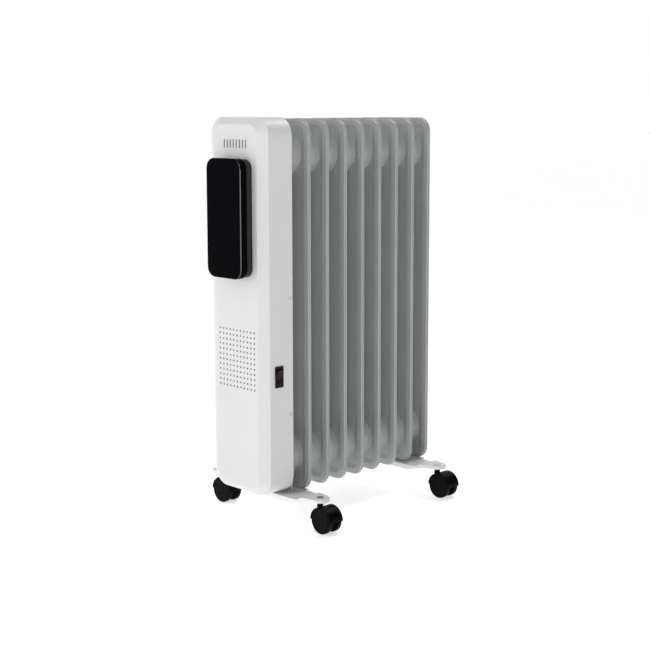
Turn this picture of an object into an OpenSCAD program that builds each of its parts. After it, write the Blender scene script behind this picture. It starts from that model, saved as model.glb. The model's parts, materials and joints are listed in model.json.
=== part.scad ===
// Oil filled radiator heater on four twin-wheel casters.
// Millimetres, +Z up, control face towards -Y. The parts are drawn about the
// heater's middle plane (x = 0) and its front face (y = 0), and place() then
// puts the origin on the floor, at the middle of the whole heater.

/* [Radiator] */
// Distance from one fin to the next
fin_pitch = 38.9; // [36:0.1:42]
// Width of a full fin
fin_w = 136; // [132:1:146]
// Height of the fins' top edge above the floor
fin_top = 623.7; // [610:0.1:640]
// Height of the fins' bottom edge above the floor
fin_bottom = 46.7; // [46:0.1:54]
// Corner radius of a fin
fin_corner = 22; // [20:1:26]
// Height of the stiffening bead around a fin
bead_rise = 3; // [2:0.5:5]

/* [Housing] */
// Width of the control housing
body_w = 131; // [126:1:136]
// Depth of the control housing, front to back
body_d = 55.8; // [54:0.1:60]
// Height of the housing's top above the floor
body_top = 626.7; // [620:0.1:640]
// Height of the housing's bottom above the floor
body_bottom = 50.7; // [50:0.1:58]
// Depth of the sloping border around the front face
bevel_depth = 8.9; // [6:0.1:12]
// Width of the border at the sides
bevel_side = 16.8; // [12:0.2:20]
// Width of the border at the top and bottom
bevel_end = 10.6; // [8:0.2:14]
// Corner radius of the housing, seen from the front
body_corner = 27.5; // [26:0.5:32]
// Wall thickness of the plastic shells
wall = 2.5; // [2:0.1:3]

/* [Vents] */
// Distance between the round vent holes
grille_pitch = 8; // [7:0.5:8]
// Diameter of a round vent hole
grille_hole = 3.4; // [3:0.1:5]
// Distance between the upper vent slots
slot_pitch = 7; // [6:0.5:8]
// Height of an upper vent slot
slot_h = 13.4; // [10:0.2:16]

/* [Control pod] */
// Width of the black control pod
pod_w = 79; // [70:1:86]
// Height of the control pod
pod_h = 180; // [160:1:190]
// How far the pod stands out from the front face
pod_d = 24; // [20:0.5:30]

/* [Feet and casters] */
// Length of a foot, tip to tip
foot_l = 263; // [256:1:280]
// Breadth of a foot in its middle
foot_b = 48; // [44:1:60]
// Height of a foot's raised ends above its middle
foot_rise = 4.5; // [2:0.5:6]
// Distance of a caster's pin from the middle plane
pin_x = 117; // [108:1:122]
// Caster wheel diameter
wheel_dia = 40; // [38:0.5:40]
// Width of one caster wheel
wheel_w = 8; // [7:0.5:10]
// Distance from the swivel pin to the wheels' axle
trail = 14; // [11:0.5:16]
// Direction that the casters trail in, turned from +X
caster_turn = 0; // [0:1:30]

/* [Hidden] */
$fn = 64;
far = 400;
eps = 0.01;

// radiator, with its first fin hidden in the housing
fin_count = 9;
sheet = 0.8;
seam = 2 * sheet;
fin_hw = fin_w / 2;
fin_hh = (fin_top - fin_bottom) / 2;
fin_z = (fin_top + fin_bottom) / 2;
first_fin_y = body_d - 3.6;
front_fin_hw = body_w / 2 - wall - 3;
front_fin_top = fin_top - 3;
front_fin_bottom = body_bottom + wall + 3;
bead_lip = 1.2;
bead_crest = 10;
bead_slope = 7.5;
header_gap = fin_pitch / 2;
header_top_z = fin_top - 54;
header_low_z = fin_bottom + 52;
header_half = 16;
header_r = 31;
pillow_r = 16.5;
pillow_root = 2.5;
neck_r = 14;
channel_x = 19;
channel_hw = 7.5;
channel_rise = 4;

// housing
body_hw = body_w / 2;
body_hh = (body_top - body_bottom) / 2;
body_z = (body_top + body_bottom) / 2;
cover_d = bevel_depth + 1.8;
face_corner = 16;
grille_cols = 11;
grille_rows = 12;
grille_z = 259.7;
slot_count = 8;
slot_w = 3;
slot_z = 587.3;
cable_hole_r = 6;

// pod
pod_z = 476.1;
pod_hw = pod_w / 2;
pod_hh = pod_h / 2;
pod_corner = 16;
pod_base_d = 12;
pod_groove = 2;
pod_wall = 2;
pod_edge = 1.5;
pod_screw_z = [-60, 60];

// parts on the housing
rocker_y = 27;
rocker_z = 236.4;
rocker_l = 32.5;
rocker_b = 16;
rocker_pin_r = 1.5;
rocker_x = body_hw - 1.5;
rocker_hole_b = rocker_b - 5.2;
rocker_hole_l = rocker_l - 7;
rocker_tilt = 6;
rocker_face_r = 22;
screw_y = first_fin_y - 1.5;
screw_z = [175.2, 354.3];
gland_y = 30;
gland_z = 105.7;
cord_r = 3.6;
gland_r = 8;
shield_y = 31;
cutout_z = 325.7;

// feet
foot_sheet = 1.6;
foot_z = fin_bottom - foot_sheet;
foot_tip_r = 16;
taper_x = 75;
ramp_in = 88;
ramp_out = 96;
skirt_in = 70;
skirt_out = 106;
skirt_low = 39;
skirt_end = 46.5;
foot_hb = foot_b / 2;
foot_hl = foot_l / 2;
front_bolt_y = first_fin_y + fin_pitch / 2;
rear_bolt_y = front_bolt_y + 7 * fin_pitch;
front_shift = 8.6;
rear_shift = 10.4;
front_foot_y = front_bolt_y - front_shift;
rear_foot_y = rear_bolt_y - rear_shift;
saddle_hl = 60;
saddle_hb = 22;
bolt_r = 2.4;
bolt_bend = 27.4;
bolt_x = header_half + bolt_bend;
nut_z = foot_z;

// casters
wheel_r = wheel_dia / 2;
hood_in = wheel_r + 0.5;
hood_r = wheel_r + 1.5;
web_hw = 5;
wheel_gap = 0.5;
hood_hw = web_hw + wheel_gap + wheel_w + 0.3;
pin_r = 3.5;
axle_r = 2.5;
run_fit = 0.05;
neck_top = foot_z + foot_rise - 0.5;

// place() moves the drawn heater so that the origin is below its middle
x_high = pin_x + (trail + hood_r) * cos(caster_turn) + hood_hw * sin(caster_turn);
x_low = -foot_hl;
y_low = -pod_d;
y_high = first_fin_y + (fin_count - 1) * fin_pitch + header_gap;
origin_x = (x_high + x_low) / 2;
origin_y = (y_high + y_low) / 2;

// ---------- shared shapes ----------

module place() {
    translate([-origin_x, -origin_y, 0]) children();
}

// stands a flat drawing up: drawing x is x, drawing y is z, its height runs to -y
module stand(y, z = 0) {
    translate([0, y, z]) rotate([90, 0, 0]) children();
}

// a flat outline made into a standing plate between two depths
module plate(y0, y1, z = 0) {
    stand(y1, z) linear_extrude(y1 - y0) children();
}

module round_rect(hw, hh, r) {
    square([2 * hw, 2 * (hh - r)], center = true);
    square([2 * (hw - r), 2 * hh], center = true);
    for (sx = [-1, 1], sy = [-1, 1]) translate([sx * (hw - r), sy * (hh - r)]) circle(r);
}

// carries a profile round a rounded rectangle; profile x is measured from the corner's centre
module round_sweep(hw, hh, r) {
    for (i = [0:3]) rotate(90 * i) {
        a = i % 2 == 0 ? hw : hh;
        b = i % 2 == 0 ? hh : hw;
        translate([a - r, b - r, 0]) {
            rotate_extrude(angle = 90) children();
            if (b - r > eps) rotate([90, 0, 0]) linear_extrude(2 * (b - r)) children();
        }
    }
}

// cylinder along x, y or z, centred
module rod_x(r, l) {
    rotate([0, 90, 0]) cylinder(r = r, h = l, center = true);
}

module rod_y(r, l) {
    rotate([90, 0, 0]) cylinder(r = r, h = l, center = true);
}

// ---------- radiator ----------

function fin_y(i) = first_fin_y + i * fin_pitch;
function arc_radius(half, rise) = (half * half + rise * rise) / (2 * rise);

channel_r = arc_radius(channel_hw, channel_rise);
channel_c = sheet + channel_rise - channel_r;

// stiffening bead around a fin: a flat crest with a steep outer and a gentle inner flank
module bead_profile() {
    low = fin_corner - bead_crest;
    high = fin_corner - bead_lip;
    polygon([[low - bead_slope, 0], [low - bead_slope, sheet], [low, sheet + bead_rise],
        [high - 0.6, sheet + bead_rise], [high, sheet], [high, 0]]);
}

// the hollow behind the bead
module bead_hollow() {
    low = fin_corner - bead_crest + 0.4;
    high = fin_corner - bead_lip - seam;
    crest = sheet + bead_rise - seam;
    polygon([[low - bead_slope + seam, -seam - 1], [low - bead_slope + seam, sheet - seam], [low, crest],
        [high - 0.6, crest], [high, sheet - seam], [high, -seam - 1]]);
}

// pressed pillow around a header, drawn from the fin's middle plane outwards
module pillow_profile(r, corner, h, root) {
    square([r - corner, h]);
    square([r, h - corner]);
    translate([r - corner, h - corner]) circle(corner);
    if (root > 0) difference() {
        square([r + root, sheet + root]);
        translate([r + root, sheet + root]) circle(root);
    }
}

module pillow(r, corner, h, root) {
    for (side = [0, 180]) rotate(side) translate([header_half, 0, 0])
        rotate_extrude() intersection() {
            pillow_profile(r, corner, h, root);
            square([far, far]);
        }
    translate([-header_half, 0, 0]) rotate([90, 0, 90]) linear_extrude(2 * header_half)
        for (m = [0, 1]) mirror([m, 0]) intersection() {
            pillow_profile(r, corner, h, root);
            square([far, far]);
        }
}

module neck() {
    linear_extrude(header_gap + 1) {
        square([2 * header_half, 2 * neck_r], center = true);
        for (s = [-1, 1]) translate([s * header_half, 0]) circle(neck_r);
    }
}

// half-round channel along z, from the middle plane out to one side
module channel_half(r) {
    linear_extrude(header_top_z - header_low_z) for (x = [-channel_x, 0, channel_x])
        translate([x, 0]) intersection() {
            translate([0, -channel_c]) circle(r);
            translate([-far, -far]) square([2 * far, far]);
        }
}

module both_headers() {
    for (z = [header_low_z, header_top_z]) translate([0, 0, z]) children();
}

// one fin: two pressed sheets, seam-welded, with headers that may be open to the front and back
module fin(hw, bottom, top, bead, open_front, open_back) {
    hh = (top - bottom) / 2;
    mid = (top + bottom) / 2;
    color([0.72, 0.73, 0.73]) difference() {
        union() {
            plate(-sheet, sheet, mid) round_rect(hw, hh, fin_corner);
            if (bead) stand(0, mid) round_sweep(hw, hh, fin_corner) bead_profile();
            both_headers() for (back = [0, 1]) mirror([0, back, 0])
                rotate([90, 0, 0]) pillow(header_r, pillow_r, header_gap, pillow_root);
            translate([0, 0, header_low_z]) for (back = [0, 1]) mirror([0, back, 0])
                channel_half(channel_r);
        }
        if (bead) stand(0, mid) round_sweep(hw, hh, fin_corner) bead_hollow();
        both_headers() for (back = [0, 1]) mirror([0, back, 0])
            rotate([90, 0, 0]) pillow(header_r - sheet, pillow_r - sheet, header_gap - sheet, 0);
        translate([0, 0, header_low_z]) for (back = [0, 1]) mirror([0, back, 0])
            channel_half(channel_r - sheet);
        if (open_front) both_headers() rotate([90, 0, 0]) neck();
        if (open_back) both_headers() rotate([-90, 0, 0]) neck();
    }
}

element_hole_r = 18;
plug_hole_r = 5;

module radiator_fin(i) {
    translate([0, fin_y(i), 0]) {
        if (i == 0) difference() {
            fin(front_fin_hw, front_fin_bottom, front_fin_top, false, false, true);
            translate([0, -header_gap, header_low_z]) rod_y(element_hole_r, 6);
            translate([0, -header_gap, header_top_z]) rod_y(plug_hole_r, 6);
        } else fin(fin_hw, fin_bottom, fin_top, true, true, i < fin_count - 1);
    }
}

element_x = 10;
element_r = 4;
element_len = (fin_count - 2) * fin_pitch;
element_front = fin_y(0) - header_gap;
flange_r = 24;
gasket_h = 1;

// two legs of a tubular element, bent at the far end, in a screwed flange with its terminals
module heating_element() {
    color([0.72, 0.6, 0.35]) translate([0, element_front, header_low_z]) {
        for (s = [-1, 1]) translate([s * element_x, element_len / 2, 0])
            rod_y(element_r, element_len);
        translate([0, element_len, 0]) rotate_extrude(angle = 180)
            translate([element_x, 0]) circle(element_r);
        translate([0, 2, 0]) rod_y(element_hole_r - 0.1, 8);
        translate([0, -gasket_h - 2.5, 0]) rod_y(flange_r, 5);
        for (s = [-1, 1]) translate([s * element_x, -gasket_h - 8, 0]) rod_y(2.5, 8);
        for (s = [-1, 1]) translate([s * element_x, -gasket_h - 13, 0])
            cube([0.8, 6, 6.3], center = true);
    }
}

module element_gasket() {
    color([0.75, 0.35, 0.2]) translate([0, element_front, header_low_z])
        plate(-gasket_h, 0) difference() {
            circle(flange_r - 1);
            circle(element_hole_r);
        }
}

module oil_plug() {
    color([0.6, 0.6, 0.6]) translate([0, element_front, header_top_z]) {
        translate([0, 1, 0]) rod_y(plug_hole_r - 0.1, 6);
        translate([0, -gasket_h - 3, 0]) rotate([90, 0, 0])
            cylinder(r = 8, h = 6, center = true, $fn = 6);
    }
}

module plug_washer() {
    color([0.8, 0.5, 0.3]) translate([0, element_front, header_top_z])
        plate(-gasket_h, 0) difference() {
            circle(9);
            circle(plug_hole_r);
        }
}

// ---------- housing ----------

// block that widens from a smaller front face to the housing's outline
module flared(face_inset, y0, rim_inset, y1, y2) {
    hull() {
        plate(y0, y0 + 0.05, body_z)
            round_rect(body_hw - bevel_side - face_inset, body_hh - bevel_end - face_inset,
                face_corner - face_inset);
        plate(y1, y2, body_z) shell_outline(rim_inset);
    }
}

module grille() {
    for (i = [0:grille_cols - 1], j = [0:grille_rows - 1])
        translate([(i - (grille_cols - 1) / 2) * grille_pitch, (j - (grille_rows - 1) / 2) * grille_pitch])
            circle(grille_hole / 2, $fn = 24);
}

module slots() {
    straight = slot_h - slot_w;
    for (i = [0:slot_count - 1]) translate([(i - (slot_count - 1) / 2) * slot_pitch, 0]) {
        square([slot_w, straight], center = true);
        for (s = [-1, 1]) translate([0, s * straight / 2]) circle(slot_w / 2, $fn = 24);
    }
}

module front_cover() {
    lip = 3;
    color([0.93, 0.93, 0.93]) difference() {
        union() {
            difference() {
                flared(0, 0, 0, bevel_depth, cover_d);
                flared(0.8, wall, wall, cover_d - 0.4, cover_d + 1);
            }
            plate(cover_d - 1.5, cover_d, body_z) difference() {
                shell_outline(wall - 0.5);
                shell_outline(2 * wall);
            }
            plate(cover_d - 0.5, cover_d + lip, body_z) difference() {
                shell_outline(wall + 0.1);
                shell_outline(2 * wall);
            }
        }
        plate(-1, wall + 1, grille_z) grille();
        plate(-1, wall + 1, slot_z) slots();
        translate([0, 0, pod_z]) rod_y(cable_hole_r, 4 * wall);
        for (z = pod_screw_z) translate([0, 0, pod_z + z]) rod_y(1.8, 4 * wall);
    }
}

module shell_outline(inset) {
    round_rect(body_hw - inset, body_hh - inset, body_corner - inset);
}

// ring that runs from the front cover to behind the first fin
module rear_shell() {
    color([0.9, 0.9, 0.91]) difference() {
        union() {
            plate(cover_d, body_d, body_z) difference() {
                shell_outline(0);
                shell_outline(wall);
            }
            plate(cover_d + 4, cover_d + 6, body_z) difference() {
                shell_outline(1);
                shell_outline(wall + 4);
            }
            for (x = [-34, 34]) translate([x, 24, body_bottom + wall]) cylinder(r = 3, h = 6);
        }
        translate([body_hw, rocker_y, rocker_z]) cube([10, rocker_b - 3, rocker_l - 3], center = true);
        translate([-body_hw, gland_y, gland_z]) rod_x(gland_r, 10);
        for (s = [-1, 1], z = screw_z) translate([s * body_hw, screw_y, z]) rod_x(1.7, 8);
        for (x = [-20:8:20]) translate([x, 38, body_bottom]) cube([3, 14, 10], center = true);
    }
}

// steel angle welded behind the first fin; the housing's side screws end in it
module side_bracket(s) {
    leg = 1.2;
    back = first_fin_y + sheet;
    outer = body_hw - wall;
    low = 140;
    color([0.75, 0.75, 0.76]) difference() {
        union() {
            translate([s > 0 ? outer - leg : -outer, back - 6, low]) cube([leg, 8.4, 260]);
            translate([s > 0 ? outer - 14 : -outer, back, low]) cube([14, leg, 260]);
        }
        for (z = screw_z) translate([s * body_hw, screw_y, z]) rod_x(1.5, 12);
    }
}

module housing_screws() {
    color([0.82, 0.82, 0.82]) for (s = [-1, 1], z = screw_z)
        translate([s * (body_hw + 0.4), screw_y, z]) {
            difference() {
                rod_x(2.8, 0.8);
                translate([s * 0.4, 0, 0]) cube([0.6, 0.7, 3.6], center = true);
                translate([s * 0.4, 0, 0]) cube([0.6, 3.6, 0.7], center = true);
            }
            translate([-s * 2.6, 0, 0]) rod_x(1.5, 5.2);
        }
}

module heat_shield() {
    color([0.78, 0.79, 0.8]) plate(shield_y, shield_y + 0.8) difference() {
        translate([0, body_z]) round_rect(body_hw - wall - 2, body_hh - wall - 3, body_corner - wall - 3);
        for (z = [header_low_z, header_top_z]) translate([0, z]) circle(flange_r + 2);
        translate([0, cutout_z]) circle(11);
        translate([-body_hw, gland_z]) square([30, 28], center = true);
        translate([body_hw, rocker_z]) square([60, rocker_l + 10], center = true);
        for (z = [220:30:520]) translate([-40, z]) square([20, 4]);
        for (z = [270:30:520]) translate([20, z]) square([20, 4]);
    }
}

// ---------- control pod ----------

module pod_outline(inset) {
    round_rect(pod_hw - inset, pod_hh - inset, pod_corner - inset);
}

module pod_base() {
    color([0.2, 0.2, 0.21]) difference() {
        union() {
            plate(-pod_base_d + pod_groove, 0, pod_z) pod_outline(1.5);
            plate(-pod_base_d - 1, -pod_base_d + pod_groove + eps, pod_z) pod_outline(3.6);
        }
        plate(-pod_d, -pod_wall, pod_z) pod_outline(pod_wall + 3.6);
        translate([0, 0, pod_z]) rod_y(cable_hole_r, 4 * pod_wall);
        for (z = pod_screw_z) translate([0, 0, pod_z + z]) rod_y(1.8, 4 * pod_wall);
    }
}

// glossy cap: a hollow block whose front edge is rounded all round
module pod_cover() {
    depth = pod_d - pod_base_d;
    color([0.04, 0.04, 0.05]) difference() {
        stand(-pod_base_d, pod_z) union() {
            linear_extrude(depth) round_rect(pod_hw - pod_edge, pod_hh - pod_edge, pod_corner - pod_edge);
            round_sweep(pod_hw, pod_hh, pod_corner) {
                translate([pod_corner - 6, 0]) square([6, depth - pod_edge]);
                translate([pod_corner - pod_edge, depth - pod_edge]) circle(pod_edge);
            }
        }
        plate(-pod_d + pod_wall, -pod_base_d + 1, pod_z) pod_outline(pod_wall);
    }
}

module touch_board() {
    color([0.1, 0.35, 0.2]) plate(-18.6, -17, pod_z) round_rect(34, 84, 4);
    color([0.85, 0.85, 0.82]) for (i = [0:5]) translate([-15, -19.4, pod_z - 68 + 14 * i])
        rod_y(3.5, 1.6);
}

module display_module() {
    color([0.12, 0.12, 0.12]) translate([0, -20.3, pod_z + 50]) cube([44, 3.4, 20], center = true);
}

module pod_screws() {
    color([0.7, 0.7, 0.7]) for (z = pod_screw_z) translate([0, 0, pod_z + z]) {
        translate([0, wall + 1, 0]) rod_y(3.2, 2);
        translate([0, wall - 3.2, 0]) rod_y(1.6, 6.4);
    }
}

// ---------- inside the housing ----------

module power_board() {
    board_y = 9;
    color([0.12, 0.4, 0.22]) translate([0, board_y, 440]) cube([84, 1.6, 130], center = true);
    color([0.85, 0.75, 0.2]) translate([-24, board_y + 6.8, 410]) cube([24, 12, 22], center = true);
    color([0.2, 0.2, 0.25]) for (z = [470, 490]) translate([26, board_y + 6.8, z]) rod_y(6, 12);
    color([0.85, 0.85, 0.85]) translate([-24, board_y + 5.8, 480]) cube([30, 10, 12], center = true);
}

module power_relay() {
    color([0.1, 0.2, 0.5]) translate([20, 9 + 0.8 + 8, 415]) cube([20, 16, 28], center = true);
}

module tip_over_switch() {
    color([0.25, 0.25, 0.27]) {
        translate([-32, 24, body_bottom + wall + 6 + 12]) cube([20, 9, 24], center = true);
        translate([-32, 24, body_bottom + wall + 6 + 28]) cylinder(r = 4, h = 8, center = true);
    }
}

module terminal_block() {
    color([0.93, 0.93, 0.88]) difference() {
        translate([31, 25, body_bottom + wall + 6 + 9]) cube([24, 10, 18], center = true);
        for (x = [-8, 0, 8]) translate([31 + x, 25, body_bottom + wall + 6 + 16]) cylinder(r = 2, h = 8);
    }
}

module thermal_cutout() {
    crest = fin_y(0) - sheet - channel_rise;
    color([0.85, 0.82, 0.75]) translate([0, crest - 5, cutout_z]) rod_y(8, 10);
    color([0.8, 0.8, 0.8]) for (s = [-1, 1]) translate([s * 3.5, crest - 13, cutout_z])
        cube([0.8, 8, 5], center = true);
}

// small probe behind the round vent holes, clear of the hot parts
module room_sensor() {
    color([0.15, 0.15, 0.15]) {
        translate([0, wall + 2, grille_z - 60]) cube([10, 4, 14], center = true);
        translate([0, wall + 7, grille_z - 60]) rod_y(2, 6);
    }
}

// ---------- switch, gland ----------

module switch_frame() {
    flange = 1.5;
    color([0.07, 0.07, 0.07]) translate([body_hw, rocker_y, rocker_z]) difference() {
        union() {
            translate([flange / 2, 0, 0]) cube([flange, rocker_b, rocker_l], center = true);
            translate([-10, 0, 0]) cube([20, rocker_b - 3.2, rocker_l - 3.2], center = true);
            for (z = [-8, 0, 8]) translate([-24, 0, z]) cube([8, 4.8, 0.8], center = true);
        }
        translate([-8, 0, 0]) cube([20, rocker_hole_b, rocker_hole_l], center = true);
        translate([-1.5, 0, 0]) rod_y(rocker_pin_r + run_fit, rocker_b);
    }
}

// rocker that stands proud of its frame at one end, on its own pivot pegs
module switch_rocker() {
    half_b = rocker_hole_b / 2 - 0.3;
    half_l = rocker_hole_l / 2 - 0.9;
    color([0.35, 0.09, 0.07]) translate([rocker_x, rocker_y, rocker_z]) rotate([0, rocker_tilt, 0]) {
        difference() {
            translate([-3, -half_b, -half_l]) cube([7.4, 2 * half_b, 2 * half_l]);
            translate([rocker_face_r + 2.6, 0, 0]) rod_y(rocker_face_r, rocker_b);
        }
        rod_y(rocker_pin_r, 2 * half_b + 2.2);
    }
}

module cord_gland() {
    color([0.08, 0.08, 0.08]) translate([-body_hw, gland_y, gland_z]) difference() {
        union() {
            translate([-2, 0, 0]) rod_x(11, 4);
            translate([-9, 0, 0]) rod_x(7, 12);
            translate([6, 0, 0]) rod_x(gland_r - 0.1, 14);
        }
        rod_x(cord_r, 60);
        for (x = [-7, -11]) translate([x, 0, 0]) difference() {
            rod_x(8, 1.6);
            rod_x(5.4, 2);
        }
    }
}

// ---------- feet ----------

// outline of a foot from above, narrower towards its round ends
module foot_outline(inset) {
    hb = foot_hb - inset;
    tip = foot_tip_r - inset;
    end = foot_hl - foot_tip_r;
    for (s = [-1, 1]) translate([s * end, 0]) circle(tip);
    polygon([[-end, -tip], [-taper_x, -hb], [taper_x, -hb], [end, -tip],
        [end, tip], [taper_x, hb], [-taper_x, hb], [-end, tip]]);
}

// side view of a foot down to a given height, with its raised ends
module foot_side(drop, low) {
    top = fin_bottom - drop;
    end = foot_hl + 1;
    plate(-foot_b, foot_b) polygon([[-end, low], [end, low], [end, top + foot_rise],
        [ramp_out, top + foot_rise], [ramp_in, top], [-ramp_in, top],
        [-ramp_out, top + foot_rise], [-end, top + foot_rise]]);
}

// pressed foot: a hollow skin with a skirt that is deeper in the middle, where the fins stand on it
module foot_skin(bolt_y, shift) {
    translate([0, bolt_y - shift, 0]) difference() {
        union() {
            intersection() {
                linear_extrude(far) foot_outline(0);
                foot_side(0, skirt_low);
            }
            translate([-saddle_hl, shift - saddle_hb, foot_z])
                cube([2 * saddle_hl, 2 * saddle_hb, foot_sheet]);
        }
        intersection() {
            linear_extrude(far) foot_outline(foot_sheet);
            foot_side(foot_sheet, 0);
        }
        for (m = [0, 1]) mirror([m, 0, 0]) plate(-foot_b, foot_b)
            polygon([[skirt_in, 0], [far, 0], [far, skirt_end], [skirt_out, skirt_end],
                [skirt_in, skirt_low]]);
        for (s = [-1, 1]) {
            translate([s * bolt_x, shift, foot_z - 5]) cylinder(r = bolt_r + 0.2, h = 20);
            translate([s * pin_x, 0, foot_z - 5]) cylinder(r = pin_r, h = 20);
        }
    }
}

module front_foot() {
    color([0.85, 0.86, 0.86]) foot_skin(front_bolt_y, front_shift);
}

module rear_foot() {
    color([0.85, 0.86, 0.86]) foot_skin(rear_bolt_y, rear_shift);
}

// square-shouldered U-bolt that hooks over the lower header between two fins
module u_bolt(y) {
    low = 32;
    color([0.7, 0.7, 0.72]) translate([0, y, header_low_z]) {
        for (s = [-1, 1]) translate([s * bolt_x, 0, low - header_low_z])
            cylinder(r = bolt_r, h = header_low_z - low);
        for (s = [0, 1]) mirror([s, 0, 0]) translate([header_half, 0, 0])
            rotate([90, 0, 0]) rotate_extrude(angle = 90) translate([bolt_bend, 0]) circle(bolt_r);
        translate([0, 0, bolt_bend]) rod_x(bolt_r, 2 * header_half);
    }
}

module wing_nuts() {
    color([0.72, 0.72, 0.72]) for (y = [front_bolt_y, rear_bolt_y], s = [-1, 1])
        translate([s * bolt_x, y, nut_z]) difference() {
            union() {
                translate([0, 0, -7]) cylinder(r = 5, h = 7);
                for (t = [-1, 1]) translate([t * 7, 0, -7]) rod_y(4.5, 2);
            }
            translate([0, 0, -20]) cylinder(r = bolt_r, h = 30);
        }
}

// ---------- casters ----------

// k: 0 front right, 1 front left, 2 rear right, 3 rear left
function caster_x(k) = k % 2 == 0 ? pin_x : -pin_x;
function caster_y(k) = k < 2 ? front_foot_y : rear_foot_y;

module caster_pins() {
    color([0.86, 0.86, 0.86]) for (k = [0:3]) translate([caster_x(k), caster_y(k), 0]) {
        translate([0, 0, 14]) cylinder(r = pin_r, h = fin_bottom + foot_rise - 14);
        translate([0, 0, fin_bottom + foot_rise]) cylinder(r = 5.5, h = 1.2);
    }
}

// draws a caster's parts about the middle of its axle, trailing to +x
module at_axle(k) {
    translate([caster_x(k), caster_y(k), 0]) rotate(caster_turn) translate([trail, 0, wheel_r]) children();
}

module caster_hood(k) {
    color([0.05, 0.05, 0.05]) at_axle(k) difference() {
        union() {
            rotate([90, 0, 0]) translate([0, 0, -hood_hw]) rotate_extrude(angle = 180)
                translate([hood_in, 0]) square([hood_r - hood_in, 2 * hood_hw]);
            intersection() {
                rod_y(hood_in + eps, 2 * web_hw);
                translate([-far, -far, 0]) cube([2 * far, 2 * far, far]);
            }
            rod_y(6, 2 * web_hw);
            translate([-trail - web_hw, -web_hw, -8]) cube([2 * web_hw, 2 * web_hw, 12]);
            translate([-trail, 0, wheel_r - 6]) cylinder(r = 4.8, h = neck_top - 2 * wheel_r + 6);
        }
        translate([-trail, 0, 14 - wheel_r - 1]) cylinder(r = pin_r + run_fit, h = far);
        rod_y(axle_r + run_fit, far);
    }
}

module caster_axle(k) {
    color([0.6, 0.6, 0.6]) at_axle(k) rod_y(axle_r, 2 * (hood_hw - 2));
}

// a wheel with a stepped outer face, its tread rounded at both edges
module caster_wheel(k, side) {
    edge = 1.5;
    inner = web_hw + wheel_gap;
    color([0.06, 0.06, 0.06]) at_axle(k) rotate([side > 0 ? -90 : 90, 0, 0]) translate([0, 0, inner])
        rotate_extrude() difference() {
            union() {
                translate([0, edge]) square([wheel_r, wheel_w - 2 * edge]);
                square([wheel_r - edge, wheel_w]);
                for (y = [edge, wheel_w - edge]) translate([wheel_r - edge, y]) circle(edge);
            }
            translate([-far, -far]) square([far, 2 * far]);
            square([axle_r, wheel_w - 2.3]);
            translate([wheel_r - 5, wheel_w - 0.8]) square([1.2, 2]);
            translate([7, wheel_w - 0.6]) square([1, 2]);
            translate([8, -1]) square([wheel_r - 12, wheel_w - 4]);
        }
}

// ---------- what is drawn ----------

place() front_cover();
place() rear_shell();
place() side_bracket(-1);  // side_bracket_left
place() side_bracket(1);  // side_bracket_right
place() heat_shield();
place() pod_base();
place() pod_cover();
place() touch_board();
place() display_module();
place() pod_screws();
place() power_board();
place() power_relay();
place() tip_over_switch();
place() terminal_block();
place() thermal_cutout();
place() room_sensor();
place() switch_frame();
place() switch_rocker();
place() cord_gland();
place() housing_screws();
place() radiator_fin(0);  // fin_1
place() radiator_fin(1);  // fin_2
place() radiator_fin(2);  // fin_3
place() radiator_fin(3);  // fin_4
place() radiator_fin(4);  // fin_5
place() radiator_fin(5);  // fin_6
place() radiator_fin(6);  // fin_7
place() radiator_fin(7);  // fin_8
place() radiator_fin(8);  // fin_9
place() heating_element();
place() element_gasket();
place() oil_plug();
place() plug_washer();
place() front_foot();
place() rear_foot();
place() u_bolt(front_bolt_y);  // front_u_bolt
place() u_bolt(rear_bolt_y);  // rear_u_bolt
place() wing_nuts();
place() caster_pins();
place() caster_hood(0);  // caster_1_hood
place() caster_axle(0);  // caster_1_axle
place() caster_wheel(0, -1);  // caster_1_wheel_a
place() caster_wheel(0, 1);  // caster_1_wheel_b
place() caster_hood(1);  // caster_2_hood
place() caster_axle(1);  // caster_2_axle
place() caster_wheel(1, -1);  // caster_2_wheel_a
place() caster_wheel(1, 1);  // caster_2_wheel_b
place() caster_hood(2);  // caster_3_hood
place() caster_axle(2);  // caster_3_axle
place() caster_wheel(2, -1);  // caster_3_wheel_a
place() caster_wheel(2, 1);  // caster_3_wheel_b
place() caster_hood(3);  // caster_4_hood
place() caster_axle(3);  // caster_4_axle
place() caster_wheel(3, -1);  // caster_4_wheel_a
place() caster_wheel(3, 1);  // caster_4_wheel_b
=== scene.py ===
"""Looks of the oil filled radiator heater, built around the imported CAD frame.

Metres, +Z up, the control pod faces -Y. Every CAD node keeps its mesh and place.
"""

import json
import math

import bpy
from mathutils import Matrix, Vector

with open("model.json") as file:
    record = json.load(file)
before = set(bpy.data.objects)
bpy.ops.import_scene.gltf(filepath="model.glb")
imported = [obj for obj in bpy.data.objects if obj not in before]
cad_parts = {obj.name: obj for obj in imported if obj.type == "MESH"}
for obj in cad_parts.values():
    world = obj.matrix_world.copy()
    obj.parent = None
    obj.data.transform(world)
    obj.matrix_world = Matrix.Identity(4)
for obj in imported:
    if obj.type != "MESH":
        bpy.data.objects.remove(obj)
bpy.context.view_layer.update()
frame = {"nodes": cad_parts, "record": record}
nodes = frame["nodes"]
scene = bpy.context.scene


# ---------- materials ----------

def add(tree, kind, x, y, **values):
    n = tree.nodes.new(kind)
    n.location = (x, y)
    for key, value in values.items():
        if hasattr(n, key):
            setattr(n, key, value)
        else:
            n.inputs[key.replace("_", " ")].default_value = value
    return n


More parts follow.
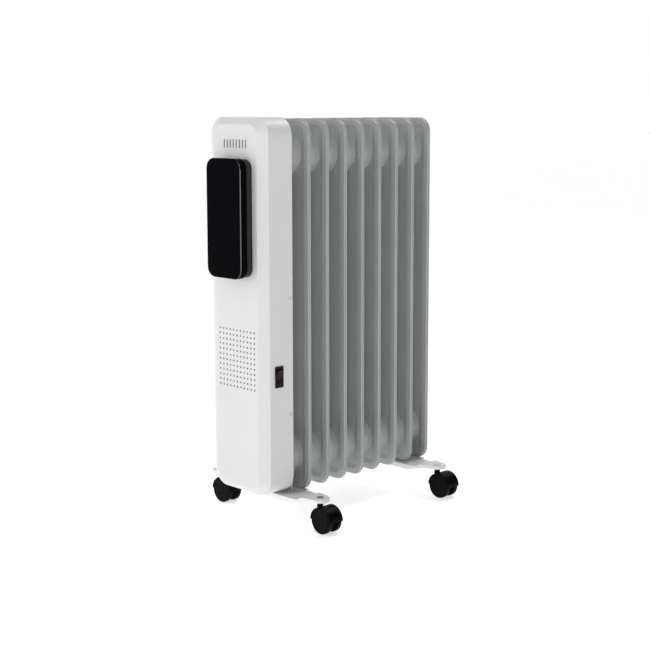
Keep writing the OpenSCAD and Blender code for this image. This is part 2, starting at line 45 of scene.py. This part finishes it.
def noise(tree, coords, scale, detail, x, y, stretch=None):
    """A noise texture in object coordinates; scale is in cycles per metre."""
    source = coords
    if stretch:
        m = add(tree, "ShaderNodeMapping", x - 180, y)
        m.inputs["Scale"].default_value = stretch
        tree.links.new(coords, m.inputs["Vector"])
        source = m.outputs["Vector"]
    n = add(tree, "ShaderNodeTexNoise", x, y, Scale=scale, Detail=detail)
    tree.links.new(source, n.inputs["Vector"])
    return n.outputs["Fac"]


def between(tree, fac, low, high, x, y, from_low=0.3, from_high=0.7):
    m = add(tree, "ShaderNodeMapRange", x, y)
    m.inputs["From Min"].default_value = from_low
    m.inputs["From Max"].default_value = from_high
    m.inputs["To Min"].default_value = low
    m.inputs["To Max"].default_value = high
    tree.links.new(fac, m.inputs["Value"])
    return m.outputs["Result"]


def material(name, base, other, rough, grain, grain_depth, metallic=0.0, coat=0.0,
             specular=0.5, patch=9.0, brushed=None, dust=None, rim=False):
    """A principled material with patchy colour and gloss and a fine surface grain.

    base and other are the two colours that the patches run between, rough is the
    lowest and highest roughness, grain is in cycles per metre and grain_depth in metres.
    """
    made = bpy.data.materials.new(name)
    made.use_nodes = True
    tree = made.node_tree
    tree.nodes.clear()
    out = add(tree, "ShaderNodeOutputMaterial", 700, 0)
    skin = add(tree, "ShaderNodeBsdfPrincipled", 400, 0)
    skin.inputs["Metallic"].default_value = metallic
    skin.inputs["Coat Weight"].default_value = coat
    skin.inputs["Coat Roughness"].default_value = 0.06
    skin.inputs["Specular IOR Level"].default_value = specular
    tree.links.new(skin.outputs[0], out.inputs[0])
    coords = add(tree, "ShaderNodeTexCoord", -900, 0).outputs["Object"]

    patches = noise(tree, coords, patch, 3.0, -500, 250)
    ramp = add(tree, "ShaderNodeValToRGB", -250, 250)
    ramp.color_ramp.elements[0].position = 0.32
    ramp.color_ramp.elements[1].position = 0.68
    ramp.color_ramp.elements[0].color = (*base, 1)
    ramp.color_ramp.elements[1].color = (*other, 1)
    tree.links.new(patches, ramp.inputs["Fac"])
    colour = ramp.outputs["Color"]

    if dust:
        # a little dust settles on what faces upwards
        tint, most = dust
        geo = add(tree, "ShaderNodeNewGeometry", -700, 520)
        split = add(tree, "ShaderNodeSeparateXYZ", -520, 520)
        tree.links.new(geo.outputs["Normal"], split.inputs[0])
        up = between(tree, split.outputs["Z"], 0.0, most, -340, 520, 0.55, 1.0)
        specks = noise(tree, coords, 420.0, 4.0, -520, 720)
        spread = add(tree, "ShaderNodeMath", -120, 560, operation="MULTIPLY")
        tree.links.new(up, spread.inputs[0])
        tree.links.new(specks, spread.inputs[1])
        mix = add(tree, "ShaderNodeMix", 60, 380, data_type="RGBA")
        tree.links.new(spread.outputs[0], mix.inputs["Factor"])
        tree.links.new(colour, mix.inputs["A"])
        mix.inputs["B"].default_value = (*tint, 1)
        colour = mix.outputs["Result"]
    tree.links.new(colour, skin.inputs["Base Color"])

    if rim:
        # painted highlight: specular and coat are raised only where the surface faces front-right, so
        # the lamps draw a highlight line along the rounded edge on the right of the face
        geo = add(tree, "ShaderNodeNewGeometry", -700, -620)
        split = add(tree, "ShaderNodeSeparateXYZ", -520, -620)
        tree.links.new(geo.outputs["Normal"], split.inputs[0])
        turned = add(tree, "ShaderNodeMath", -340, -620, operation="MULTIPLY")
        tree.links.new(split.outputs["X"], turned.inputs[0])
        tree.links.new(split.outputs["Y"], turned.inputs[1])
        painted_highlight_gloss = between(tree, turned.outputs[0], 1.0, specular, -160, -620, -0.42, -0.15)
        tree.links.new(painted_highlight_gloss, skin.inputs["Specular IOR Level"])
        painted_highlight_coat = between(tree, turned.outputs[0], 1.0, 0.0, -160, -820, -0.42, -0.15)
        tree.links.new(painted_highlight_coat, skin.inputs["Coat Weight"])

    gloss = noise(tree, coords, patch * 3.7, 4.0, -500, -40)
    tree.links.new(between(tree, gloss, rough[0], rough[1], -250, -40), skin.inputs["Roughness"])

    fine = noise(tree, coords, grain, 2.0, -500, -350, brushed)
    bump = add(tree, "ShaderNodeBump", 150, -300)
    bump.inputs["Distance"].default_value = grain_depth
    bump.inputs["Strength"].default_value = 1.0
    tree.links.new(fine, bump.inputs["Height"])
    tree.links.new(bump.outputs["Normal"], skin.inputs["Normal"])
    return made


MATERIALS = {
    "white_shell": material(
        "white_shell", (0.725, 0.725, 0.732), (0.75, 0.75, 0.757), (0.36, 0.46), 2600, 0.00001,
        patch=6, dust=((0.7, 0.7, 0.68), 0.3)),
    "grey_shell": material(
        "grey_shell", (0.009, 0.009, 0.0105), (0.012, 0.012, 0.014), (0.5, 0.62), 2200, 0.00002),
    # rim=True paints a highlight: only the right rounded edge gets full specular and coat
    "black_gloss": material(
        "black_gloss", (0.0008, 0.0008, 0.0016), (0.0012, 0.0012, 0.0022), (0.1, 0.14), 60, 0.00001,
        specular=0.02, patch=4, rim=True),
    "black_trim": material(
        "black_trim", (0.0035, 0.0035, 0.004), (0.0055, 0.0055, 0.006), (0.38, 0.5), 1800, 0.00003,
        specular=0.15),
    "red_rocker": material(
        "red_rocker", (0.014, 0.0035, 0.003), (0.024, 0.005, 0.004), (0.22, 0.3), 900, 0.00001,
        specular=0.12),
    "fin_paint": material(
        "fin_paint", (0.435, 0.45, 0.446), (0.475, 0.49, 0.486), (0.34, 0.46), 700, 0.00003,
        patch=12, dust=((0.56, 0.56, 0.54), 0.35)),
    "foot_paint": material(
        "foot_paint", (0.85, 0.855, 0.85), (0.89, 0.895, 0.89), (0.34, 0.46), 700, 0.00003,
        patch=14, dust=((0.8, 0.8, 0.78), 0.35)),
    "plain_steel": material(
        "plain_steel", (0.55, 0.555, 0.57), (0.63, 0.635, 0.645), (0.26, 0.4), 1500, 0.00001,
        metallic=1.0, brushed=(1, 1, 14)),
    "brass_parts": material(
        "brass_parts", (0.58, 0.42, 0.2), (0.66, 0.5, 0.27), (0.25, 0.38), 1400, 0.00001,
        metallic=1.0, brushed=(1, 12, 1)),
    "gasket_rubber": material(
        "gasket_rubber", (0.2, 0.06, 0.04), (0.25, 0.08, 0.05), (0.6, 0.75), 1600, 0.00003),
    "circuit_board": material(
        "circuit_board", (0.02, 0.13, 0.05), (0.03, 0.17, 0.07), (0.3, 0.45), 500, 0.00003, patch=60),
    "blue_case": material(
        "blue_case", (0.02, 0.06, 0.24), (0.03, 0.08, 0.29), (0.35, 0.5), 1500, 0.00002),
    "pale_block": material(
        "pale_block", (0.7, 0.68, 0.6), (0.76, 0.74, 0.66), (0.4, 0.55), 1500, 0.00002),
    "caster_black": material(
        "caster_black", (0.0012, 0.0012, 0.0013), (0.002, 0.002, 0.0021), (0.3, 0.44), 1300, 0.00003,
        specular=0.06, patch=40, dust=((0.01, 0.01, 0.0095), 0.3)),
}

slot_of = {s["node"]: s["material_slot"] for s in frame["record"]["subparts"]}
for name, piece in nodes.items():
    piece.data.materials.clear()
    piece.data.materials.append(MATERIALS[slot_of[name]])


# ---------- floor, light, camera ----------

floor_mesh = bpy.data.meshes.new("floor")
half = 30.0
corners = [(-half, -half, 0), (half, -half, 0), (half, half, 0), (-half, half, 0)]
floor_mesh.from_pydata(corners, [], [(0, 1, 2, 3)])
floor = bpy.data.objects.new("floor", floor_mesh)
scene.collection.objects.link(floor)
paper = material("pale_floor", (0.78, 0.78, 0.78), (0.8, 0.8, 0.8), (0.7, 0.8), 300, 0.00001, patch=1)
paper_skin = paper.node_tree.nodes["Principled BSDF"]
paper_skin.inputs["Emission Color"].default_value = (1, 1, 1, 1)
paper_skin.inputs["Emission Strength"].default_value = 0.6
floor_mesh.materials.append(paper)


def area_light(name, where, target, size, power, shade=(1, 1, 1)):
    data = bpy.data.lights.new(name, "AREA")
    data.shape = "RECTANGLE"
    data.size, data.size_y = size
    data.energy = power
    data.color = shade
    lamp = bpy.data.objects.new(name, data)
    lamp.location = where
    lamp.rotation_mode = "QUATERNION"
    lamp.rotation_quaternion = (Vector(target) - Vector(where)).to_track_quat("-Z", "Y")
    scene.collection.objects.link(lamp)
    return lamp


middle = (0, 0, 0.33)
area_light("key", (-0.9, -3.2, 0.5), middle, (1.8, 1.8), 19)
area_light("right", (1.7, -1.1, 2.3), middle, (1.2, 1.2), 7, (0.975, 0.97, 1.0))
area_light("edge", (2.9, -1.3, 0.6), (0, -0.1, 0.4), (0.5, 1.1), 9.2)
area_light("top", (0.2, 1.3, 2.5), middle, (1.0, 1.0), 26, (0.97, 0.97, 1.0))

# a white studio whose light is dimmer on the side that the heater's fins open to, and overhead
world = bpy.data.worlds.new("studio")
scene.world = world
world.use_nodes = True
tree = world.node_tree
sky = tree.nodes["Background"]
sky.inputs["Color"].default_value = (1, 1, 1, 1)
direction = add(tree, "ShaderNodeTexCoord", -900, 0)
parts = add(tree, "ShaderNodeSeparateXYZ", -700, -150)
tree.links.new(direction.outputs["Generated"], parts.inputs[0])
sideways = add(tree, "ShaderNodeVectorMath", -700, 100, operation="DOT_PRODUCT")
tree.links.new(direction.outputs["Generated"], sideways.inputs[0])
sideways.inputs[1].default_value = (0.97, 0.24, 0.0)
dim_side = between(tree, sideways.outputs["Value"], 1.0, 0.08, -500, 100, -0.3, 0.4)
dim_top = between(tree, parts.outputs["Z"], 1.0, 0.7, -500, -150, 0.1, 0.9)
product = add(tree, "ShaderNodeMath", -250, 0, operation="MULTIPLY")
tree.links.new(dim_side, product.inputs[0])
tree.links.new(dim_top, product.inputs[1])
rays = add(tree, "ShaderNodeLightPath", -250, 300)
shown = add(tree, "ShaderNodeMath", -60, 100, operation="MAXIMUM")
tree.links.new(rays.outputs["Is Camera Ray"], shown.inputs[0])
tree.links.new(product.outputs[0], shown.inputs[1])
tree.links.new(shown.outputs[0], sky.inputs["Strength"])

scene.view_settings.view_transform = "Standard"
scene.view_settings.look = "None"

camera_data = bpy.data.cameras.new("camera")
camera = bpy.data.objects.new("camera", camera_data)
scene.collection.objects.link(camera)
camera_data.sensor_width = 36
camera_data.lens = 73.66
camera_data.shift_y = -0.0565
camera_data.clip_end = 100
camera.location = (1.5232, -1.4776, 0.6435)
down, roll, turn = 7.82, 0.12, 45.89
camera.rotation_euler = (math.radians(90 - down), math.radians(roll), math.radians(turn))
scene.camera = camera

bpy.context.view_layer.update()
